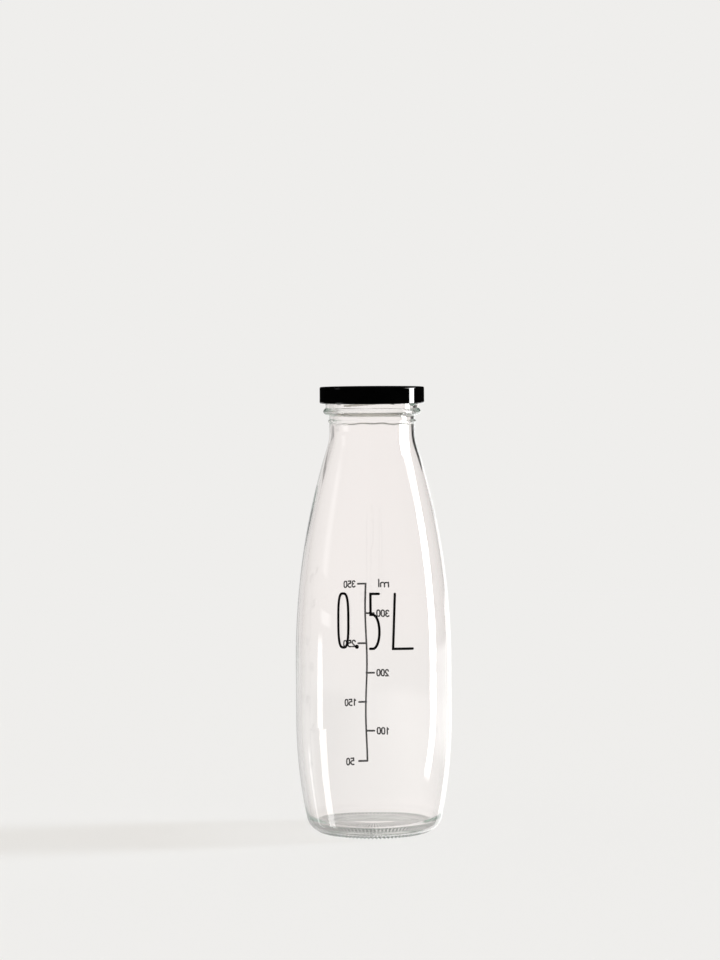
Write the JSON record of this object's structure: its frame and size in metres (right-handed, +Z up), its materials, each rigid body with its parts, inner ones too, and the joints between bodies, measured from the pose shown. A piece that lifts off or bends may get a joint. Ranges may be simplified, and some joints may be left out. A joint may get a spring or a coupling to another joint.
{
  "type": "milk bottle",
  "caption": "Clear glass milk bottle with a round shoulder, domed base and threaded mouth, closed by a black twist-off metal lid with a soft sealing liner.",
  "frame": {"origin": "centre of the base, on the surface that the bottle stands on", "axes": "+Z up along the bottle's axis, towards the lid; -Y towards the front with the capacity mark"},
  "size_m": [0.0716, 0.0716, 0.205],
  "materials": {
    "clear_glass": "clear, smooth, faintly green where it is thick",
    "black_lacquer": "high-gloss black lacquer on tinplate",
    "soft_liner": "soft, satin sealing compound",
    "black_enamel": "fired black enamel print, satin"
  },
  "bodies": {
    "bottle": {"glass_bottle": "clear_glass"},
    "lid_seal": {"lid_liner": "soft_liner"},
    "lid": {"lid_shell": "black_lacquer"}
  },
  "joints": [
    {"name": "lid_rise", "type": "slide", "parent": "bottle", "child": "lid_seal", "axis": [0, 0, 1], "range_m": [0, 0.0168]},
    {"name": "lid_twist", "type": "hinge", "parent": "lid_seal", "child": "lid", "pos_m": [0, 0, 0.2], "axis": [0, 0, 1], "range_deg": [0, 540]}
  ],
  "couplings": [
    {"joint": "lid_rise", "follows": "lid_twist", "m_per_rad": 0.0017825}
  ]
}
